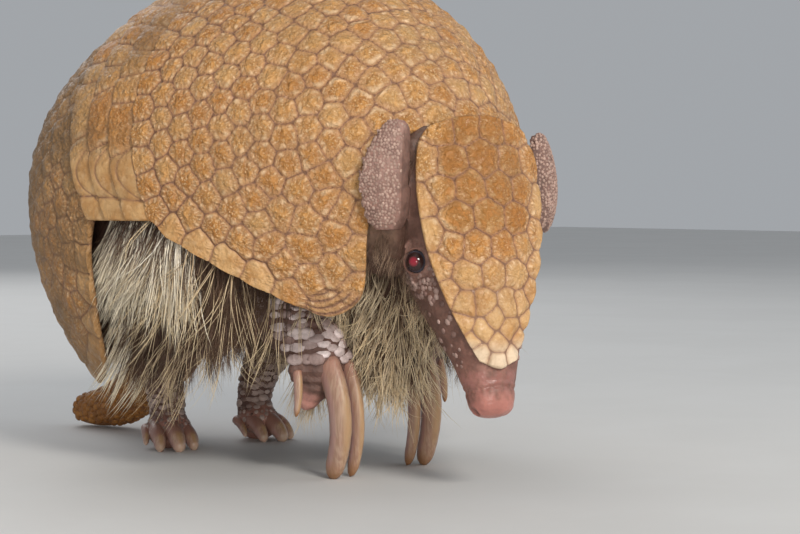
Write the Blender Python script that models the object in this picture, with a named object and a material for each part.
"""A southern three-banded armadillo as a still, life-size display model.

The animal stands on the tips of its front claws, its hind feet and the end of its tail, with its
head hanging and turned a little to its right. It faces -Y, its left side is +X, and Z = 0 is the
floor. All sizes are metres, written as millimetres times MM.

The shell plates follow one egg-shaped dome. Each plate is the strip between two edge curves on
that dome. The flesh is built from lofted tubes and ellipsoids, parted by thin gaps.
"""

import math

import bmesh
import bpy
from mathutils import Matrix, Vector

MM = 0.001
GAP = 0.35 * MM
RIGHT, LEFT = -1, 1
SIDES = {"right": RIGHT, "left": LEFT}

# The dome that carries the shell: an egg, wider behind, with a steeper lower half.
DOME_CENTRE = Vector((0.0, -9.6 * MM, 82.3 * MM))
DOME_HALF_WIDTH = 73.1 * MM
DOME_HALF_LENGTH = 87.4 * MM
DOME_RISE = 73.3 * MM
DOME_DROP = 90.2 * MM
DOME_TAPER = 0.25

# The shell plates.
SHELL_THICKNESS = 2.6 * MM
BAND_STEP = 1.1 * MM
BAND_COUNT = 3
SHELL_COLUMNS = 28
SHIELD_ROWS = 7
BAND_ROWS = 1
SMOOTH_BELOW = math.radians(35)

# The joints between plates cross the back. Each has a place at the rim and one on the midline.
FIRST_JOINT_RIM, FIRST_JOINT_TOP = -19.0 * MM, -3.0 * MM
LAST_JOINT_RIM, LAST_JOINT_TOP = 4.7 * MM, 28.5 * MM
JOINT_RIM_Z = 75.3 * MM
JOINT_BOW = 3
JOINT_STEPS = 40
SETTLING_STEPS = 16

# The free edge of each shield on the right side, ending on the midline (x, y from the dome's
# centre, z from the floor, in millimetres).
FRONT_EDGE = (
    (-66.5, -24.5, 70.5),
    (-54.6, -41.3, 60.3),
    (-43.5, -54.7, 52.1),
    (-34.5, -63.3, 48.2),
    (-29.3, -70.5, 54.2),
    (-30.0, -74.0, 71.8),
    (-28.0, -76.0, 88.0),
    (-20.5, -79.0, 99.5),
    (0.0, -83.4, 104.6),
)
REAR_EDGE = (
    (-73.0, 7.0, 64.0),
    (-69.0, 10.0, 47.0),
    (-61.0, 18.0, 30.0),
    (-50.0, 36.0, 23.5),
    (-33.0, 60.0, 27.0),
    (-13.0, 74.0, 37.0),
    (0.0, 79.0, 44.0),
)

# The head hangs from the crown. Its frame runs s down the snout, w to its left, n out of its brow.
CROWN = DOME_CENTRE + Vector((-4.0, -91.6, 20.9)) * MM
HEAD_YAW = math.radians(17)
HEAD_PITCH = math.radians(79)
HEAD_LENGTH = 82.0 * MM
HEAD_START, NOSE_START = 0.6 * MM, 70.5 * MM
SHIELD_LENGTH = 69.0 * MM
SHIELD_THICKNESS = 1.9 * MM
SHIELD_SAG = 0.32
CROWN_RISE, CROWN_REACH = 2.4 * MM, 9.9 * MM
BROW_RISE, BROW_SKEW = 2.2 * MM, 0.8
HEAD_STATIONS = (
    # along s, half width, depth
    (0.6, 10.5, 10.0),
    (4.0, 15.0, 20.0),
    (12.0, 18.3, 29.5),
    (26.0, 18.8, 33.5),
    (38.0, 18.2, 32.5),
    (48.0, 15.8, 29.0),
    (58.0, 12.0, 22.5),
    (67.0, 8.8, 16.6),
    (76.0, 6.7, 12.8),
    (82.0, 5.6, 10.6),
)
HEAD_SQUARENESS = 0.92
HEAD_SIDES, HEAD_RINGS = 18, 12
NOSE_RINGS = 3
# The rounded tip of the nose: each further ring's size, and how far ahead of the last full one.
NOSE_TIP = ((0.86, 1.4 * MM), (0.5, 2.4 * MM))
SHIELD_MESH = (10, 8)
SHIELD_WIDTHS = (
    # along s, half width of the head shield
    (0.0, 14.5),
    (5.0, 17.8),
    (18.0, 19.4),
    (34.0, 18.2),
    (48.0, 14.4),
    (60.0, 9.4),
    (69.0, 4.8),
)
EYE_RADIUS = 3.3 * MM
EYE_PLACE = (37.0, 16.9, -12.6)
EYE_MESH = (10, 7)
EAR_EDGES = (
    # up the ear from its root, inner edge, outer edge
    (0.0, 2.6, 9.6),
    (3.0, 0.6, 12.6),
    (9.0, 0.0, 15.0),
    (16.0, 0.0, 15.2),
    (23.0, 0.0, 12.8),
    (28.0, 0.4, 9.4),
    (30.5, 2.0, 7.2),
)
EAR_LENGTH = 30.5 * MM
EAR_THICKNESS = 1.9 * MM
EAR_CUP = 3.6 * MM
EAR_FULL_WIDTH = 15.0 * MM
EAR_MESH = (7, 5)
EAR_ROOT = (28.5, 18.6, -12.0)
EAR_POSES = {
    # how far the ear is folded back, its lean towards the brow, and its height as a share
    "right": (math.radians(4), 0.24, 1.0),
    "left": (math.radians(39), 0.2, 0.91),
}

# A paw's own frame starts on the floor under the wrist or the ankle: out, ahead, up. Each paw has
# its place there (x outwards, y from the dome's centre, in millimetres), the angle it is turned
# outwards about that point, and how far its claws spread.
PAWS = {
    "fore_right": ((20.5, -39.0), math.radians(3), 1.12),
    "fore_left": ((21.6, -32.2), math.radians(-12), 0.88),
    "hind_right": ((17.0, 49.4), math.radians(15), 1.0),
    "hind_left": ((19.5, 51.5), math.radians(2), 1.0),
}

# The legs, in millimetres. The first list runs from inside the trunk to the elbow or the knee
# (x outwards, y from the dome's centre, z from the floor, radius). The second runs on to the paw
# (out, ahead, up in the paw's frame, radius).
FORE_UPPER = ((36.0, -25.0, 70.0, 13.0), (34.5, -24.0, 57.5, 11.5))
FORE_LOWER = (
    (7.5, -8.5, 47.5, 10.0),
    (1.0, -2.0, 39.5, 9.0),
    (0.0, 0.0, 33.5, 7.8),
    (1.5, -1.5, 27.5, 6.2),
)
HIND_UPPER = ((27.0, 36.0, 72.0, 20.0), (31.0, 33.0, 54.0, 16.5))
HIND_LOWER = (
    (8.0, 7.5, 38.0, 10.8),
    (2.5, 1.5, 25.0, 7.2),
    (0.0, 0.0, 14.0, 6.2),
    (0.0, 0.0, 9.0, 6.2),
)
FOOT_MIDDLE, FOOT_HALF = (0.0, 2.0, 6.0), (7.6, 8.8, 7.6)
FOOT_MESH = (12, 9)
LEG_SIDES, TAIL_SIDES = 10, 12
CAP_ANGLE = math.radians(78)

# Claws, in the paw's frame: root place, tip place, width, depth and bow of the curve, in
# millimetres. The last value is the share of its thickness that the claw keeps at its tip.
FORE_CLAWS = (
    ((-9.2, 1.0, 34.0), (-9.8, 4.0, 24.0), 2.6, 3.2, 1.0, 0.45),
    ((-5.8, 4.0, 33.0), (-6.4, 5.0, 0.0), 3.8, 5.8, 4.8, 0.72),
    ((0.3, 4.0, 33.5), (-0.5, 4.4, 0.0), 6.0, 9.4, 6.0, 0.72),
    ((8.2, 1.6, 31.5), (9.6, 3.4, 18.6), 2.6, 3.4, 1.0, 0.45),
)
HIND_CLAWS = (
    ((-6.6, -1.5, 6.4), (-8.4, 6.4, 1.4), 3.0, 3.4, 0.8, 0.4),
    ((-4.2, 4.0, 6.0), (-5.4, 12.8, 0.0), 5.0, 5.8, 1.2, 0.5),
    ((0.5, 5.0, 6.4), (0.6, 16.0, 0.0), 6.2, 7.0, 1.4, 0.5),
    ((5.0, 4.0, 6.0), (6.2, 12.4, 0.0), 5.0, 5.8, 1.2, 0.5),
    ((6.8, -2.0, 6.2), (8.8, 5.0, 1.4), 3.0, 3.4, 0.8, 0.4),
)
CLAW_RINGS, CLAW_SIDES = 6, 7
CLAW_TAPER_POWER = 2.5
CLAW_SUNK = 0.8 * MM

# The neck runs from a place in the trunk (y, z) to a place in the head (s, w, n).
NECK_START, NECK_END = (-46.0, 82.0), (25.0, 0.0, -20.0)
NECK_RADII = (27.0, 19.5)
NECK_STEPS, NECK_SIDES = 3, 16

# The tail, from inside the trunk to its tip, and the trunk with its hanging coat.
TAIL = (
    (0.0, 60.0, 40.0, 10.5),
    (0.0, 73.0, 29.5, 10.6),
    (-0.5, 86.0, 19.5, 9.8),
    (-1.5, 98.0, 11.5, 8.8),
    (-3.5, 110.0, 7.2, 7.4),
    (-5.8, 118.5, 6.2, 6.0),
)
TRUNK_CENTRE_Z = 90.0 * MM
TRUNK_HALF_WIDTH = 66.0 * MM
TRUNK_REACH_FORWARD, TRUNK_REACH_BACK = 58.0 * MM, 76.0 * MM
TRUNK_DROP = 50.0 * MM
TRUNK_POWER = 2.6
TRUNK_CLEARANCE = 0.5 * MM
TRUNK_MESH, LOBE_MESH = (24, 15), (14, 10)
COAT_LOBES = (
    # centre, half sizes: the right flank, the left flank, the chest and the belly
    ((-49.0, -3.0, 54.0), (13.0, 36.0, 30.0)),
    ((49.0, -3.0, 54.0), (13.0, 36.0, 30.0)),
    ((0.0, -47.0, 49.0), (14.0, 20.0, 27.0)),
    ((0.0, 6.0, 42.0), (40.0, 46.0, 15.0)),
)

FLOOR_SIZE = Vector((0.4, 0.5, 0.05))

HORN_GOLD = (0.60, 0.36, 0.12)
SKIN_BROWN = (0.28, 0.17, 0.13)
HIDE_PINK = (0.48, 0.26, 0.20)
CLAW_HORN = (0.58, 0.42, 0.28)
COAT_TAN = (0.38, 0.28, 0.19)
EYE_BLACK = (0.02, 0.01, 0.01)


def clear_scene():
    for obj in list(bpy.data.objects):
        bpy.data.objects.remove(obj)


def material(name, colour, roughness):
    found = bpy.data.materials.get(name) or bpy.data.materials.new(name)
    found.use_nodes = True
    shader = found.node_tree.nodes["Principled BSDF"]
    shader.inputs["Base Color"].default_value = (*colour, 1.0)
    shader.inputs["Roughness"].default_value = roughness
    return found


def add_object(name, mesh, finish=None, helper=False):
    """A mesh becomes a named object. A helper only cuts others and isn't part of the model."""
    obj = bpy.data.objects.new(name, mesh)
    bpy.context.scene.collection.objects.link(obj)
    obj.hide_render = helper
    if helper:
        obj.display_type = "WIRE"
    if finish:
        mesh.materials.append(finish)
    return obj


def combine(target, other, operation, bent=False):
    """A Boolean of two solids. bent says that the target is a tube with a tight bend."""
    step = target.modifiers.new(operation.title(), "BOOLEAN")
    step.operation = operation
    step.solver = "EXACT"
    step.use_self = bent
    step.object = other
    return target


# ---------------------------------------------------------------- curves and sections


def spline(points, steps=12):
    """A smooth Catmull-Rom line through the points."""
    padded = [2 * points[0] - points[1], *points, 2 * points[-1] - points[-2]]
    line = []
    for a, b, c, d in zip(padded, padded[1:], padded[2:], padded[3:]):
        for i in range(steps):
            t = i / steps
            bend, twist = 2 * a - 5 * b + 4 * c - d, 3 * b - a - 3 * c + d
            line.append(b + 0.5 * ((c - a) * t + bend * t**2 + twist * t**3))
    return [*line, points[-1]]


def evenly(line, count):
    """count + 1 points, evenly spaced along a line."""
    reach = [0.0]
    for a, b in zip(line, line[1:]):
        reach.append(reach[-1] + (b - a).length)
    found, k = [], 0
    for i in range(count + 1):
        wanted = reach[-1] * i / count
        while k < len(line) - 2 and reach[k + 1] < wanted:
            k += 1
        share = (wanted - reach[k]) / max(reach[k + 1] - reach[k], 1e-12)
        found.append(line[k].lerp(line[k + 1], share))
    return found


def between(table, along):
    """The values of a table of (along, value, ...) rows, in millimetres, smoothed between rows."""
    line = spline([Vector(row) for row in table], 8)
    for a, b in zip(line, line[1:]):
        if along <= b[0] * MM:
            share = (along - a[0] * MM) / max((b[0] - a[0]) * MM, 1e-12)
            return [value * MM for value in a.lerp(b, max(0.0, share))][1:]
    return [value * MM for value in line[-1]][1:]


def to_mesh(name, form):
    mesh = bpy.data.meshes.new(name)
    form.to_mesh(mesh)
    form.free()
    return mesh


def bridge_rows(form, rows, closed):
    """Faces between rows of vertices, each row a ring if closed."""
    for lower, upper in zip(rows, rows[1:]):
        count = len(lower)
        for i in range(count if closed else count - 1):
            j = (i + 1) % count
            form.faces.new((lower[i], lower[j], upper[j], upper[i]))


def loft(name, rings, finish=None, helper=False):
    """A closed skin through rings of equal count, capped at both ends."""
    form = bmesh.new()
    rows = [[form.verts.new(point) for point in ring] for ring in rings]
    bridge_rows(form, rows, closed=True)
    form.faces.new(reversed(rows[0]))
    form.faces.new(rows[-1])
    bmesh.ops.recalc_face_normals(form, faces=form.faces)
    return add_object(name, to_mesh(name, form), finish, helper)


def slab(name, place, rows, columns, thickness, finish):
    """A curved plate. place(down, across, depth) gives its points, down and across from 0 to 1."""
    form = bmesh.new()
    walls = []
    for depth in (0.0, thickness):
        points = [[place(i / rows, j / columns, depth) for j in range(columns + 1)] for i in range(rows + 1)]
        walls.append([[form.verts.new(point) for point in row] for row in points])
        bridge_rows(form, walls[-1], closed=False)
    outer, inner = walls
    bridge_rows(form, [outer[0], inner[0]], closed=False)
    bridge_rows(form, [outer[-1], inner[-1]], closed=False)
    for j in (0, -1):
        bridge_rows(form, [[row[j] for row in outer], [row[j] for row in inner]], closed=False)
    bmesh.ops.recalc_face_normals(form, faces=form.faces)
    mesh = to_mesh(name, form)
    mesh.shade_smooth()
    mesh.set_sharp_from_angle(angle=SMOOTH_BELOW)
    return add_object(name, mesh, finish)


def tube_rings(points, radii, sides, flatten=1.0, side_axis=Vector((1, 0, 0))):
    """Rings along a line. flatten scales them along the side axis."""
    rings = []
    for i, point in enumerate(points):
        ahead = (points[min(i + 1, len(points) - 1)] - points[max(i - 1, 0)]).normalized()
        across = (side_axis - side_axis.dot(ahead) * ahead).normalized()
        up = across.cross(ahead)
        turns = [2 * math.pi * k / sides for k in range(sides)]
        rings.append([point + radii[i] * (flatten * math.cos(t) * across + math.sin(t) * up) for t in turns])
    return rings


def rounded(points, radii, steps=2):
    """Lengthens a tube by a rounded cap at its last point."""
    ahead = (points[-1] - points[-2]).normalized()
    end, last = points[-1], radii[-1]
    turns = [CAP_ANGLE * k / steps for k in range(1, steps + 1)]
    points = points + [end + ahead * last * math.sin(turn) for turn in turns]
    return points, radii + [last * math.cos(turn) for turn in turns]


def ellipsoid(name, centre, half, counts, turn=0.0, finish=None, helper=False):
    form = bmesh.new()
    bmesh.ops.create_uvsphere(form, u_segments=counts[0], v_segments=counts[1], radius=1.0)
    place = Matrix.LocRotScale(centre, Matrix.Rotation(turn, 3, "Z"), half)
    bmesh.ops.transform(form, matrix=place, verts=form.verts)
    return add_object(name, to_mesh(name, form), finish, helper)


# ---------------------------------------------------------------- the dome and its plates


def dome_point(direction, inset):
    """Where a direction from the dome's centre leaves the dome, inset towards the centre."""
    d = direction.normalized()
    width, length = DOME_HALF_WIDTH - inset, DOME_HALF_LENGTH - inset
    height = (DOME_RISE if d.z > 0 else DOME_DROP) - inset
    reach = length
    for _ in range(SETTLING_STEPS):
        width_here = width * (1 + DOME_TAPER * reach * d.y / length)
        reach = 1 / math.sqrt((d.x / width_here) ** 2 + (d.y / length) ** 2 + (d.z / height) ** 2)
    return DOME_CENTRE + d * reach


def joint_curve(rim_y, top_y):
    """A joint between plates, rim to rim across the back, as directions from the dome's centre."""
    half = []
    start = rim_angle(rim_y)
    for i in range(JOINT_STEPS + 1):
        share = i / JOINT_STEPS
        y = rim_y + (top_y - rim_y) * (1 - (1 - share) ** JOINT_BOW)
        t = y / DOME_HALF_LENGTH
        angle = start + (math.pi / 2 - start) * share
        height = DOME_RISE if angle > 0 else DOME_DROP
        width = DOME_HALF_WIDTH * (1 + DOME_TAPER * t)
        reach = math.sqrt(1 - t * t) / math.hypot(math.cos(angle) / width, math.sin(angle) / height)
        half.append(Vector((RIGHT * reach * math.cos(angle), y, reach * math.sin(angle))))
    return mirrored(half)


def rim_angle(rim_y):
    t = rim_y / DOME_HALF_LENGTH
    drop = (JOINT_RIM_Z - DOME_CENTRE.z) / DOME_DROP
    x = DOME_HALF_WIDTH * (1 + DOME_TAPER * t) * math.sqrt(1 - t * t - drop * drop)
    return math.atan2(JOINT_RIM_Z - DOME_CENTRE.z, x)


def edge_curve(points):
    """A shield's free edge, rim to rim, as directions from the dome's centre."""
    half = [Vector((x, y, z - DOME_CENTRE.z / MM)) * MM for x, y, z in points]
    return spline(mirrored(half))


def mirrored(half):
    return half + [Vector((-p.x, p.y, p.z)) for p in reversed(half[:-1])]


def plate(name, front, rear, rows, finish, tuck=0.0):
    """A shell plate between two curves. tuck lowers its front edge under the plate ahead."""
    front, rear = evenly(front, SHELL_COLUMNS), evenly(rear, SHELL_COLUMNS)

    def place(down, across, depth):
        j = round(across * SHELL_COLUMNS)
        direction = front[j].normalized().slerp(rear[j].normalized(), down)
        return dome_point(direction, depth + tuck * (1 - down) ** 2)

    return slab(name, place, rows, SHELL_COLUMNS, SHELL_THICKNESS, finish)


def joint_at(share, offset):
    """The joint curve a share of the way from the first joint to the last, moved back by offset."""
    rim = FIRST_JOINT_RIM + (LAST_JOINT_RIM - FIRST_JOINT_RIM) * share
    top = FIRST_JOINT_TOP + (LAST_JOINT_TOP - FIRST_JOINT_TOP) * share
    return joint_curve(rim + offset, top + offset)


def build_shell():
    horn = material("shell_horn", HORN_GOLD, 0.55)
    plate("shell_front", joint_at(0, -GAP / 2), edge_curve(FRONT_EDGE), SHIELD_ROWS, horn)
    for k in range(BAND_COUNT):
        front = joint_at(k / BAND_COUNT, GAP / 2)
        rear = joint_at((k + 1) / BAND_COUNT, -GAP / 2)
        plate(f"shell_band_{k + 1}", front, rear, BAND_ROWS, horn, tuck=BAND_STEP)
    plate("shell_rear", joint_at(1, GAP / 2), edge_curve(REAR_EDGE), SHIELD_ROWS, horn, tuck=BAND_STEP)


# ---------------------------------------------------------------- the head


def head_axes():
    s = Vector(
        (
            -math.sin(HEAD_YAW) * math.cos(HEAD_PITCH),
            -math.cos(HEAD_YAW) * math.cos(HEAD_PITCH),
            -math.sin(HEAD_PITCH),
        )
    )
    w = Vector((math.cos(HEAD_YAW), -math.sin(HEAD_YAW), 0.0))
    return s, w, s.cross(w)


def in_head(s, w, n):
    """A point given in the head's own frame."""
    down, left, brow = head_axes()
    return CROWN + s * down + w * left + n * brow


def brow_line(s):
    """How far the brow stands out along n: a gentle arch that is highest over the eyes."""
    share = min(max(s / HEAD_LENGTH, 0.0), 1.0)
    return BROW_RISE * math.sin(math.pi * share**BROW_SKEW)


def head_ring(s, grow):
    half_width, depth = between(HEAD_STATIONS, s)
    half_width, half_depth = half_width + grow, depth / 2 + grow
    middle = brow_line(s) - SHIELD_THICKNESS - GAP - depth / 2
    ring = []
    for k in range(HEAD_SIDES):
        turn = 2 * math.pi * k / HEAD_SIDES
        across, out = math.cos(turn), math.sin(turn)
        w = half_width * math.copysign(abs(across) ** HEAD_SQUARENESS, across)
        n = half_depth * math.copysign(abs(out) ** HEAD_SQUARENESS, out)
        ring.append(in_head(s, w, middle + n))
    return ring


def head_rings(start, end, count, grow=0.0):
    return [head_ring(start + (end - start) * i / count, grow) for i in range(count + 1)]


def shield_point(down, across, depth):
    """The head shield: rounded over the crown, arched from side to side, narrow at the nose."""
    across = 2 * across - 1
    s = SHIELD_LENGTH * down
    s = s - CROWN_RISE * max(0.0, 1 - s / CROWN_REACH) * (1 - across * across)
    (half_width,) = between(SHIELD_WIDTHS, s)
    sag = SHIELD_SAG * half_width * across * across
    return in_head(s, half_width * across, brow_line(s) - sag - depth)


def build_head_shield():
    horn = material("shell_horn", HORN_GOLD, 0.55)
    slab("head_shield", shield_point, *SHIELD_MESH, SHIELD_THICKNESS, horn)


def build_head():
    """The head, its nose, eyes and ears. The eyes sit in sockets."""
    skin = material("face_skin", SKIN_BROWN, 0.6)
    head = loft("head", head_rings(HEAD_START, NOSE_START - GAP, HEAD_RINGS), skin)
    tip_length = NOSE_TIP[-1][1]
    nose_rings = head_rings(NOSE_START, HEAD_LENGTH - tip_length, NOSE_RINGS)
    middle = sum(nose_rings[-1], Vector()) / len(nose_rings[-1])
    down = head_axes()[0]
    for share, ahead in NOSE_TIP:
        nose_rings.append([middle + share * (p - middle) + ahead * down for p in nose_rings[NOSE_RINGS]])
    loft("nose", nose_rings, material("nose_skin", HIDE_PINK, 0.4))
    s, w, n = (value * MM for value in EYE_PLACE)
    for side_name, side in SIDES.items():
        place = in_head(s, side * w, n)
        half = Vector((1, 1, 1))
        wet = material("eye", EYE_BLACK, 0.05)
        ellipsoid(f"eye_{side_name}", place, half * EYE_RADIUS, EYE_MESH, finish=wet)
        socket = ellipsoid(f"socket_{side_name}", place, half * (EYE_RADIUS + GAP), EYE_MESH, helper=True)
        combine(head, socket, "DIFFERENCE")
        build_ear(side_name, side)


def build_ear(side_name, side):
    """A leaf that stands up from its root beside the head, cupped round its long axis."""
    down_axis, left, brow = head_axes()
    root = in_head(EAR_ROOT[0] * MM, side * EAR_ROOT[1] * MM, EAR_ROOT[2] * MM)
    fold, lean, rise = EAR_POSES[side_name]
    width_axis = math.cos(fold) * side * left - math.sin(fold) * brow
    normal = math.cos(fold) * brow + math.sin(fold) * side * left

    def place(up, across, depth):
        inner, outer = between(EAR_EDGES, EAR_LENGTH * up)
        cup = EAR_CUP * (1 - (2 * across - 1) ** 2) * (outer - inner) / EAR_FULL_WIDTH
        out = inner + (outer - inner) * across
        stalk = EAR_LENGTH * rise * up * (lean * brow - down_axis)
        return root + stalk + out * width_axis + (cup - depth) * normal

    ear = slab(f"ear_{side_name}", place, *EAR_MESH, EAR_THICKNESS, material("ear_skin", HIDE_PINK, 0.6))
    combine(ear, grown_head(f"head_round_ear_{side_name}"), "DIFFERENCE")


def grown_head(name):
    """The head, larger by the gap, to cut what meets it."""
    return loft(name, head_rings(HEAD_START, NOSE_START, HEAD_RINGS, GAP), helper=True)


# ---------------------------------------------------------------- trunk, neck, legs and tail


def trunk_core(name, grow, finish=None, helper=False):
    """The trunk fills the dome under the shell, and ends below in a round belly."""
    form = bmesh.new()
    bmesh.ops.create_uvsphere(form, u_segments=TRUNK_MESH[0], v_segments=TRUNK_MESH[1], radius=1.0)
    inset = SHELL_THICKNESS + BAND_STEP + TRUNK_CLEARANCE - grow
    half_x, drop = TRUNK_HALF_WIDTH + grow, TRUNK_DROP + grow
    lift = TRUNK_CENTRE_Z - DOME_CENTRE.z
    for vert in form.verts:
        d = vert.co.normalized()
        half_y = grow + (TRUNK_REACH_BACK if d.y > 0 else TRUNK_REACH_FORWARD)
        reach = (dome_point(d, inset) - DOME_CENTRE).length
        low, high = 0.0, reach
        for _ in range(2 * SETTLING_STEPS):
            middle = (low + high) / 2
            p = d * middle
            below = max(0.0, lift - p.z) / drop
            total = abs(p.x / half_x) ** TRUNK_POWER + abs(p.y / half_y) ** TRUNK_POWER + below**TRUNK_POWER
            low, high = (middle, high) if total < 1 else (low, middle)
        vert.co = DOME_CENTRE + d * low
    return add_object(name, to_mesh(name, form), finish, helper)


def trunk_solid(name, grow, finish=None, helper=False):
    """The trunk with the lobes of its hanging coat."""
    trunk = trunk_core(name, grow, finish, helper)
    for k, (centre, half) in enumerate(COAT_LOBES):
        size = Vector(half) * MM + Vector((grow, grow, grow))
        lobe = ellipsoid(f"{name}_lobe_{k}", body_place(LEFT, *centre), size, LOBE_MESH, helper=True)
        combine(trunk, lobe, "UNION")
    return trunk


def body_place(side, x, y, z):
    """A point of the body: x outwards, y from the dome's centre, z from the floor, in millimetres."""
    return Vector((side * x * MM, DOME_CENTRE.y + y * MM, z * MM))


def paw_place(paw, out, ahead, up):
    """A point in a paw's own frame, in millimetres, turned about the vertical through its start."""
    start, turn, _ = PAWS[paw]
    turned_out = out * math.cos(turn) + ahead * math.sin(turn)
    turned_ahead = ahead * math.cos(turn) - out * math.sin(turn)
    return body_place(paw_side(paw), start[0] + turned_out, start[1] - turned_ahead, up)


def paw_side(paw):
    return SIDES[paw.split("_")[1]]


def tapered_limb(name, stations, sides, finish=None, helper=False):
    """A tube through (point, radius) stations, with a rounded end."""
    line = spline([Vector((*point, radius)) for point, radius in stations], 2)
    points, radii = rounded([Vector(p[:3]) for p in line], [p[3] for p in line])
    return loft(name, tube_rings(points, radii, sides), finish, helper)


def leg(name, paw, upper, lower, grow=0.0, finish=None, helper=False):
    stations = [(body_place(paw_side(paw), x, y, z), radius * MM + grow) for x, y, z, radius in upper]
    stations += [(paw_place(paw, out, ahead, up), radius * MM + grow) for out, ahead, up, radius in lower]
    return tapered_limb(name, stations, LEG_SIDES, finish, helper)


def hind_foot(name, paw, grow=0.0):
    """The sole and toes of a hind foot, without its nails."""
    half = Vector(FOOT_HALF) * MM + Vector((grow, grow, grow))
    turn = -paw_side(paw) * PAWS[paw][1]
    return ellipsoid(name, paw_place(paw, *FOOT_MIDDLE), half, FOOT_MESH, turn=turn, helper=True)


def floor_cutter():
    """Everything below the floor, so that feet, claws and tail end in flats at one level."""
    form = bmesh.new()
    bmesh.ops.create_cube(form, size=1.0)
    middle = Vector((0.0, 0.0, -FLOOR_SIZE.z / 2))
    bmesh.ops.transform(form, matrix=Matrix.LocRotScale(middle, None, FLOOR_SIZE), verts=form.verts)
    return add_object("below_floor", to_mesh("below_floor", form), helper=True)


def claw(name, paw, row, finish, floor):
    """A claw: a flattened cone bowed forwards between its root and its tip."""
    root, tip, width, depth, bow, tip_share = row
    turn, spread = PAWS[paw][1:]
    start = paw_place(paw, root[0] * spread, *root[1:])
    chord = paw_place(paw, tip[0] * spread, *tip[1:]) - start
    side_axis = Vector((math.cos(turn), paw_side(paw) * math.sin(turn), 0.0))
    ahead = chord.cross(side_axis).normalized()
    points, radii = [], []
    for i in range(CLAW_RINGS):
        share = i / (CLAW_RINGS - 1)
        points.append(start + chord * share + ahead * bow * MM * 4 * share * (1 - share))
        radii.append(depth * MM / 2 * (1 - (1 - tip_share) * share**CLAW_TAPER_POWER))
    if tip[2] == 0:
        points[-1].z -= CLAW_SUNK
    rings = tube_rings(points, radii, CLAW_SIDES, width / depth, side_axis)
    return combine(loft(name, rings, finish), floor, "DIFFERENCE")


def build_legs(trunk_grown, floor):
    hide = material("leg_hide", SKIN_BROWN, 0.7)
    horn = material("claw_horn", CLAW_HORN, 0.35)
    for side_name in SIDES:
        paw = f"fore_{side_name}"
        foreleg = leg(f"foreleg_{side_name}", paw, FORE_UPPER, FORE_LOWER, finish=hide)
        combine(foreleg, trunk_grown, "DIFFERENCE", bent=True)
        grown = leg(f"grown_{paw}", paw, FORE_UPPER, FORE_LOWER, GAP, helper=True)
        for k, row in enumerate(FORE_CLAWS):
            made = claw(f"claw_{paw}_{k + 1}", paw, row, horn, floor)
            combine(combine(made, grown, "DIFFERENCE"), trunk_grown, "DIFFERENCE")
        paw = f"hind_{side_name}"
        hindleg = leg(f"hindleg_{side_name}", paw, HIND_UPPER, HIND_LOWER, finish=hide)
        combine(hindleg, hind_foot(f"foot_{side_name}", paw), "UNION")
        combine(hindleg, trunk_grown, "DIFFERENCE")
        combine(hindleg, floor, "DIFFERENCE")
        grown = hind_foot(f"grown_{paw}", paw, GAP)
        for k, row in enumerate(HIND_CLAWS):
            combine(claw(f"claw_{paw}_{k + 1}", paw, row, horn, floor), grown, "DIFFERENCE")


def build_trunk(floor):
    coat = material("coat", COAT_TAN, 0.8)
    trunk_solid("trunk", 0.0, coat)
    trunk_grown = trunk_solid("trunk_grown", GAP, helper=True)
    start, end = body_place(RIGHT, 0.0, *NECK_START), in_head(*(value * MM for value in NECK_END))
    shares = [i / NECK_STEPS for i in range(NECK_STEPS + 1)]
    points = [start.lerp(end, share) for share in shares]
    radii = [(NECK_RADII[0] + (NECK_RADII[1] - NECK_RADII[0]) * share) * MM for share in shares]
    neck = loft("neck", tube_rings(points, radii, NECK_SIDES), material("face_skin", SKIN_BROWN, 0.6))
    combine(neck, trunk_grown, "DIFFERENCE")
    combine(neck, grown_head("head_round_neck"), "DIFFERENCE")
    combine(bpy.data.objects["head"], trunk_grown, "DIFFERENCE")
    stations = [(body_place(LEFT, x, y, z), radius * MM) for x, y, z, radius in TAIL]
    tail = tapered_limb("tail", stations, TAIL_SIDES, material("tail_hide", HORN_GOLD, 0.6))
    combine(tail, trunk_grown, "DIFFERENCE")
    combine(tail, floor, "DIFFERENCE")
    return trunk_grown


def main():
    clear_scene()
    floor = floor_cutter()
    build_shell()
    build_head_shield()
    build_head()
    trunk_grown = build_trunk(floor)
    build_legs(trunk_grown, floor)


main()
